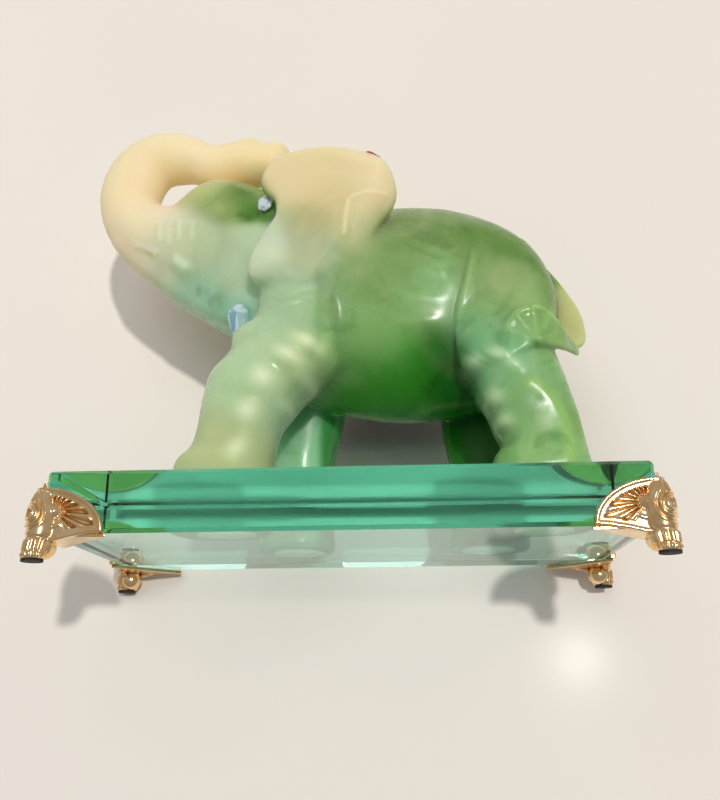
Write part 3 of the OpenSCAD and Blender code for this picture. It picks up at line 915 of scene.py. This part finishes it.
def post_shape():
    """The round corner: leaves above, a hole with rings round it, and a fluted leg with a beaded sole."""
    def distance(x, y, z):
        lean = SOLE_OUT * np.clip(-z / FOOT_HIGH, 0, 1)
        dx, dy = x + lean, y + lean
        radius = np.sqrt(dx * dx + dy * dy)
        around = np.arctan2(dx - dy, -(dx + dy))
        across = 4.2 * around
        eye = np.sqrt(across ** 2 + (z - 5.6) ** 2)
        rings = 0.42 * np.cos(2 * np.pi * (eye - 2.1) / 1.9) * ramp(6.4 - eye, 1.5) - 1.1 * hill(eye, 1.0)
        leaves = 0.4 * np.cos(2 * np.pi * across / 2.5) * np.clip(1 - np.abs(across) / 5.5, 0, 1)
        beads = 0.45 * np.abs(np.cos(around * 8)) * hill(z - BOTTOM - 1.1, 0.75)
        waist = -0.35 * hill(z + 1.6, 0.5)
        upper, lower = ramp(z - 8.6, 1.0), ramp(-1.6 - z, 0.8)
        middle = (1 - upper) * (1 - lower)
        flutes = 0.32 * np.cos(around * 12) * ramp(z - BOTTOM - 1.8, 0.6)
        relief = upper * leaves + middle * rings + lower * flutes + beads + waist
        solid = (radius - np.interp(z, POST[:, 0], POST[:, 1]) - relief) * 0.8
        inward = (x + y) / np.sqrt(2) - 1.2 - 4 * np.clip(z + 2.6, 0, 1)
        return np.maximum(solid, inward).astype(np.float32)

    return distance, np.array([-7.0, -7.0, BOTTOM - 1]), np.array([6.0, 6.0, 14.0])


def sculpt_foot(step):
    clay = Clay((-7, -7, BOTTOM - 1), (WING + 1.5, WING + 1.5, FAN_HIGH + 3), step)
    for swap in (False, True):
        clay.add(wing_shape(swap), 0.2)
    clay.add(post_shape(), 0.5)
    clay.add(egg((0.9, 0.9, BOTTOM + 3.7), (3.7, 3.7, 3.7)), 0.3)
    # The plate under the glass.
    part, x, y, z = clay.window((-2, -2, -2), (WING + 1, WING + 1, 0))
    slope, level = (x + y - WING) / np.sqrt(2), np.abs(z + FILM + PLATE / 2) - PLATE / 2
    plate = np.maximum(slope, np.maximum(np.maximum(-1 - x, -1 - y), level))
    clay.field[part] = np.minimum(clay.field[part], plate)
    # Room for the glass, and a flat sole.
    _, x, y, z = clay.window(clay.low, clay.low + clay.step * np.array(clay.field.shape))
    gap = 0.04
    glass = np.maximum(np.maximum(-x - gap, -y - gap), -FILM - z)
    clay.field = np.maximum(clay.field, -glass).astype(np.float32)
    clay.flatten_below(BOTTOM)
    return clay


def make_feet(material):
    points, faces = skin(sculpt_foot(0.2))
    points = relax(points, faces, 1)
    # 0 on crests to 1 deep in the grooves, for the dark patina.
    soft = relax(points, faces, 10, 0.3)
    depth = np.clip(0.2 + ((soft - points) * point_normals(points, faces)).sum(1) * 3.6, 0, 1)
    # 1 on the faces against the glass.
    inner = points[:, :2].min(1)
    back = (np.abs(points[:, :2] + 0.04).min(1) < 0.15) * (points[:, 2] > 0) * (inner > -0.3)
    feet = []
    for name, (sx, sy) in CORNERS.items():
        corner = np.where(np.array([sx, sy, -1]) < 0, SLAB_LOW, SLAB_HIGH)
        placed = corner + points * MM * np.array([-sx, -sy, 1])
        made = mesh_object("foot_" + name, placed, faces[:, ::-1] if sx * sy < 0 else faces, [material])
        for key, values in (("Depth", depth), ("Back", back)):
            attribute = made.data.attributes.new(key, "FLOAT", "POINT")
            attribute.data.foreach_set("value", values.astype(np.float32))
        stand_for(made, "gilt", "corner_foot_" + name)
        feet.append(made)
    return feet


def layer(name, node, outline, low, high, material, dome=0.0):
    """A thin film of glue between two heights, from its outline in the row frame's X-Y plane, metres."""
    count, middle = len(outline), outline.mean(0)
    shoulder = low + (high - low) * (1 - dome)
    rings = []
    for share, height in ((0.02, low), (1.0, low), (1.0, shoulder), (0.75, high), (0.02, high)):
        rings.append(np.column_stack([middle + (outline - middle) * share, np.full(count, height)]))
    faces = [tuple(range(count))[::-1], tuple(range(4 * count, 5 * count))]
    for k in range(4):
        faces += band(k * count, (k + 1) * count, count)
    made = mesh_object(name, np.concatenate(rings), faces, [material])
    stand_for(made, "glue", node)
    return made


def make_glue(material):
    """Four spots under the soles and a thin film between each foot's plate and the glass."""
    clear = 0.00004
    spots = []
    for number, name in enumerate(("front_left", "front_right", "hind_left", "hind_right")):
        low, high = (np.array(corner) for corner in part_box("sole_glue_" + name))
        angle = np.linspace(0, 2 * np.pi, 48, endpoint=False)
        uneven = 0.93 + 0.03 * np.sin(3 * angle + number) + 0.03 * np.sin(5 * angle)
        radius = (high[0] - low[0]) / 2 * uneven
        outline = (low[:2] + high[:2]) / 2 + radius[:, None] * np.stack([np.cos(angle), np.sin(angle)], 1)
        names = "glue_spot_" + name, "sole_glue_" + name
        spots.append(layer(*names, outline, low[2] + clear, high[2], material, 0.3))
    share = np.linspace(0.04, 0.96, 14)
    share = share + 0.02 * np.sin(share * 19)
    for name, (sx, sy) in CORNERS.items():
        low, high = (np.array(corner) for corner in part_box("glue_film_" + name))
        near_x, far_x = (high[0], low[0]) if sx < 0 else (low[0], high[0])
        near_y, far_y = (high[1], low[1]) if sy < 0 else (low[1], high[1])
        slope = np.column_stack([far_x + (near_x - far_x) * share, near_y + (far_y - near_y) * share])
        outline = np.concatenate([slope, [(far_x, far_y)]])[::-sx * sy]
        layer("glue_sheet_" + name, "glue_film_" + name, outline, low[2] + clear, high[2] - clear, material)
    return spots


# ---- crystals
def ring(count, radius, height, offset=0.0):
    a = 2 * np.pi * (np.arange(count) + offset) / count
    return np.stack([radius * np.cos(a), radius * np.sin(a), np.full(count, height)], 1)


def band(first, second, count, lean=0):
    """Faces between two rings of the same count: quads, or pairs of triangles for a lean of 1 or -1."""
    faces = []
    for i in range(count):
        j = (i + 1) % count
        a, b, c, d = first + i, first + j, second + j, second + i
        faces += {0: [(a, b, c, d)], 1: [(a, b, d), (b, c, d)], -1: [(a, c, d), (a, b, c)]}[lean]
    return faces


def brilliant(radius, crown, girdle, pavilion, count=8):
    """A round cut stone: table, star and kite facets, girdle, and a pointed back. +Z looks out."""
    points = np.concatenate([
        ring(count, radius * 0.56, crown), ring(count, radius * 0.82, crown * 0.55, 0.5),
        ring(count, radius, 0), ring(count, radius, -girdle), [(0, 0, -girdle - pavilion)],
    ])
    after = [(i + 1) % count for i in range(count)]
    faces = [tuple(range(count))]
    faces += [f[::-1] for f in band(0, count, count, 1)]
    faces += [(count + i, 2 * count + j, count + j) for i, j in enumerate(after)]
    faces += [(count + i, 2 * count + i, 2 * count + j) for i, j in enumerate(after)]
    faces += [f[::-1] for f in band(2 * count, 3 * count, count)]
    faces += [(3 * count + i, 4 * count, 3 * count + j) for i, j in enumerate(after)]
    return points, faces


def set_stone(name, slot, node, points, faces, materials, seed=0, silvered=None):
    """A cut stone; where some facets are silvered, the others get painted light and painted shade, pale and
    dark by turns.
    """
    made = mesh_object(name, to_row(points), faces, materials, smooth=False)
    work = bmesh.new()
    work.from_mesh(made.data)
    bmesh.ops.recalc_face_normals(work, faces=work.faces)
    work.to_mesh(made.data)
    work.free()
    if silvered:
        values = np.random.default_rng(seed).uniform(-0.9, 1.0, len(faces))
        values = np.clip(values, 0, 1).astype(np.float32)
        made.data.attributes.new("PaintedFacetShade", "FLOAT", "FACE").data.foreach_set("value", values)
        for polygon in made.data.polygons:
            polygon.material_index = int(silvered(polygon))
    stand_for(made, slot, node)


def make_eyes(glass, foil):
    points, faces = brilliant(3.2, 1.1, 0.4, 1.6)
    for name, side in (("left", -1), ("right", 1)):
        aim = np.array(Vector((-0.34, side * 0.93, 0.0)).to_track_quat("Z", "Y").to_matrix())
        placed = points @ aim.T + EYE * (1, side, 1) + aim[:, 2] * 3.5
        set_stone("eye_stone_" + name, "clear_crystal", "eye_" + name, placed, faces, [glass, foil], 11,
                  lambda polygon: len(points) - 1 in polygon.vertices)


DROP = np.array([-39.6, -15.5, 51.6])


def make_throat_crystal(glass, foil):
    """A drop with eight sides, widest near its top, with a silvered back."""
    levels = ((0, 0.7), (3.2, 2.1), (9.5, 4.1), (11.2, 3.9), (13.4, 2.2), (14.0, 1.5))
    count = 8
    points = np.concatenate([ring(count, r, h, 0.5 * (i % 2)) for i, (h, r) in enumerate(levels)])
    faces = [tuple(range(count))[::-1], tuple(range(5 * count, 6 * count))]
    for i in range(5):
        faces += band(i * count, (i + 1) * count, count, -1 if i % 2 else 1)
    set_stone("throat_drop", "aqua_crystal", "throat_crystal", points + DROP, faces, [glass, foil], 5,
              lambda polygon: polygon.normal.y > 0.3)


GEM = np.array([9.2, 31.6, 113.6])


def make_ear_gems(glass):
    """A small cushion-cut stone on each ear's rim: a bevelled slab with a raised table."""
    outline = ((-1, -0.6), (-0.8, -1), (0.8, -1), (1, -0.6), (1, 0.6), (0.8, 1), (-0.8, 1), (-1, 0.6))
    layers = ((-1.3, 2.6, 1.0), (-0.6, 3.1, 1.2), (0.1, 3.1, 1.15), (0.8, 2.3, 0.7))
    points = np.array([(sx * long, sy * wide, height) for height, long, wide in layers for sx, sy in outline])
    faces = [tuple(range(8))[::-1], tuple(range(24, 32))]
    for i in range(3):
        faces += band(i * 8, i * 8 + 8, 8)
    for name, side in (("left", -1), ("right", 1)):
        placed = points @ turn(35, 1).T + GEM * (1, side, 1)
        set_stone("ear_stone_" + name, "red_gem", "ear_gem_" + name, placed, faces, [glass])


# ---- stage, lights and camera
def plane(name, corners, material):
    made = mesh_object(name, corners, [(0, 1, 2, 3)], [material], smooth=False)
    return made


def hide(thing, *rays):
    """The thing isn't seen by these kinds of ray."""
    for ray in rays:
        setattr(thing, "visible_" + ray, False)
    return thing


def card(name, left, right, y, low, high, material):
    """An upright card that the camera doesn't see; it only casts a shadow."""
    made = plane(name, [(left, y, low), (right, y, low), (right, y, high), (left, y, high)], material)
    return hide(made, "camera", "glossy", "transmission")


def make_stage():
    pale = srgb(243, 236, 228)
    # The backdrop leans back and turns a little, so that its shadow and its soft glint agree on one lamp.
    lean, swing = 0.05, 0.018
    near = SLAB_HIGH[1] + 0.007 - lean * 0.01
    low, high, half = -0.6, 1.4, 1.6
    wall = plane("backdrop", [(x, near + lean * z + swing * x, z) for x, z in
                              ((-half, low), (half, low), (half, high), (-half, high))],
                 one_sided_material("backdrop", pale))
    floor = plane("floor", [(-1.2, -1.4, 0), (1.2, -1.4, 0), (1.2, 1.4, 0), (-1.2, 1.4, 0)],
                  one_sided_material("floor", pale))
    hide(floor, "diffuse", "glossy", "transmission", "shadow")
    black = dull_material("flag", (0.05, 0.05, 0.05, 1), (0.04, 0.04, 0.04, 1), 0.7, 100, 0.0001)
    # The glass bends the lamp's light down, so it leaves a dark strip behind the slab's upper back edge;
    # this flag stands in for that.
    flag = card("flag", SLAB_LOW[0] + 0.002, SLAB_HIGH[0] - 0.002, SLAB_HIGH[1] + 0.003,
                SLAB_LOW[2] + 0.0158, SLAB_HIGH[2] + 0.0004, black)
    hide(flag, "diffuse")
    # A second one keeps stray light off the wall behind the belly and the legs.
    card("shade", SCULPT_ORIGIN[0] - 0.014, SCULPT_ORIGIN[0] + 0.046, SLAB_HIGH[1] + 0.0025,
         SCULPT_ORIGIN[2] + 0.0285, SCULPT_ORIGIN[2] + 0.052, black)
    return wall


def area_light(name, towards, distance, size, power, colour=(1, 1, 1)):
    data = bpy.data.lights.new(name, "AREA")
    data.shape = "DISK"
    data.size = size
    data.energy = power
    data.color = colour
    lamp = bpy.data.objects.new(name, data)
    centre = Vector((0, 0, 0.085))
    direction = Vector(towards).normalized()
    lamp.location = centre + direction * distance
    lamp.rotation_euler = direction.to_track_quat("Z", "Y").to_euler()
    bpy.context.scene.collection.objects.link(lamp)
    return lamp


def shine_through(lamp):
    """The lamp's light passes the glass, as it does in a clear plate."""
    blockers = bpy.data.collections.new(lamp.name + "_blockers")
    blockers.objects.link(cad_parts["glass_plinth"])
    blockers.collection_objects[0].light_linking.link_state = "EXCLUDE"
    lamp.light_linking.blocker_collection = blockers
    return lamp


def light_only(lamp, pieces):
    """The lamp lights these pieces and nothing else, and isn't mirrored in anything."""
    lit = bpy.data.collections.new(lamp.name + "_receivers")
    for piece in pieces:
        lit.objects.link(piece)
    lamp.light_linking.receiver_collection = lit
    hide(lamp, "glossy", "transmission")


def make_slab_band(wall):
    """The slab carries light through to a low band on the wall close behind it."""
    data = bpy.data.lights.new("slab_band", "AREA")
    data.shape = "RECTANGLE"
    data.size = SLAB_HIGH[0] - SLAB_LOW[0] - 0.008
    data.size_y = 0.005
    data.spread = np.radians(40)
    data.energy = 0.0012
    lamp = bpy.data.objects.new("slab_band", data)
    lamp.location = ((SLAB_LOW[0] + SLAB_HIGH[0]) / 2, SLAB_HIGH[1] + 0.0008, SLAB_LOW[2] + 0.0135)
    lamp.rotation_euler = (np.radians(90), 0, 0)
    bpy.context.scene.collection.objects.link(lamp)
    light_only(hide(lamp, "camera"), [wall])


def make_lights(wall, glue, feet):
    towards = (0.236, -0.961, 0.105)
    warm = (1.0, 0.97, 0.92)
    area_light("key", towards, 5.0, 0.22, 13.0, warm)
    shine_through(area_light("key_through", towards, 5.0, 0.22, 102.0, warm))
    fill = area_light("front_fill", (-0.20, -0.90, 0.30), 1.8, 1.2, 7.0, (0.98, 0.99, 1.0))
    hide(shine_through(fill), "glossy")
    light_only(shine_through(area_light("glue_light", (-0.1, -0.3, -1.0), 0.6, 0.5, 2.0)), glue)
    light_only(shine_through(area_light("feet_light", (0.0, 1.0, 0.05), 0.8, 0.5, 5.0, warm)), feet)
    make_slab_band(wall)


def make_world():
    world = bpy.data.worlds.new("studio")
    world.use_nodes = True
    sky = Nodes(world.node_tree)
    height = sky.add("SeparateXYZ", {"Vector": sky.add("TexCoord", {}, "Generated")}, "Z")
    tone = sky.mix(sky.remap(height, -0.5, 0.6), (0.75, 0.75, 0.76, 1), (1.0, 0.975, 0.95, 1))
    sky.plug(sky.tree.nodes["Background"], {"Color": tone, "Strength": 0.38})
    bpy.context.scene.world = world


def make_camera():
    data = bpy.data.cameras.new("camera")
    data.sensor_fit = "VERTICAL"
    data.sensor_height = 36
    data.lens = 38.25
    data.clip_start = 0.01
    data.clip_end = 20
    camera = bpy.data.objects.new("camera", data)
    pitch, yaw, roll = np.radians([18.59, -3.19, -0.29])
    forward = np.array([np.sin(yaw) * np.cos(pitch), np.cos(yaw) * np.cos(pitch), np.sin(pitch)])
    right = np.array([np.cos(yaw), -np.sin(yaw), 0.0])
    up = np.cross(right, forward)
    right, up = np.cos(roll) * right + np.sin(roll) * up, -np.sin(roll) * right + np.cos(roll) * up
    place = np.array([SCULPT_ORIGIN[0] + 0.0181, -0.2868, SLAB_LOW[2] - 0.043])
    matrix = np.eye(4)
    matrix[:3] = np.column_stack([right, up, -forward, place])
    camera.matrix_world = Matrix(matrix.tolist())
    bpy.context.scene.collection.objects.link(camera)
    bpy.context.scene.camera = camera


# ---- build
make_camera()
wall = make_stage()
bpy.context.scene.view_settings.view_transform = "Standard"

make_elephant(jade_material())
feet = make_feet(gilt_material())
clear = crystal_material("clear_crystal", (0.86, 0.95, 1.0, 1), (0.22, 0.33, 0.38, 1), 0.2)
make_eyes(clear, foil_material("foil", (0.75, 0.82, 0.9, 1)))
glue = make_glue(dull_material("glue", (0.84, 0.88, 0.62, 1), (0.74, 0.82, 0.56, 1), 0.3, 300, 0.0001))
aqua_inside = (0.35, 0.85, 1.0, 1), 90.0
aqua = crystal_material("aqua_crystal", (0.82, 0.98, 1.0, 1), (0.12, 0.45, 0.62, 1), 0.3, aqua_inside)
make_throat_crystal(aqua, foil_material("aqua_foil", (0.55, 0.85, 0.95, 1)))
red_inside = (0.8, 0.05, 0.08, 1), 400.0
make_ear_gems(crystal_material("red_gem", (0.75, 0.08, 0.10, 1), (0.4, 0.04, 0.05, 1), inside=red_inside))

CARRIED = {
    "glass_plinth": glass_material(),
    "foot_pad": dull_material("pad", (0.035, 0.028, 0.024, 1), (0.015, 0.012, 0.010, 1), 0.8, 900, 0.0002),
}
for name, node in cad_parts.items():
    for start, material in CARRIED.items():
        if name.startswith(start):
            node.data.materials.clear()
            node.data.materials.append(material)

make_lights(wall, glue, feet)
make_world()
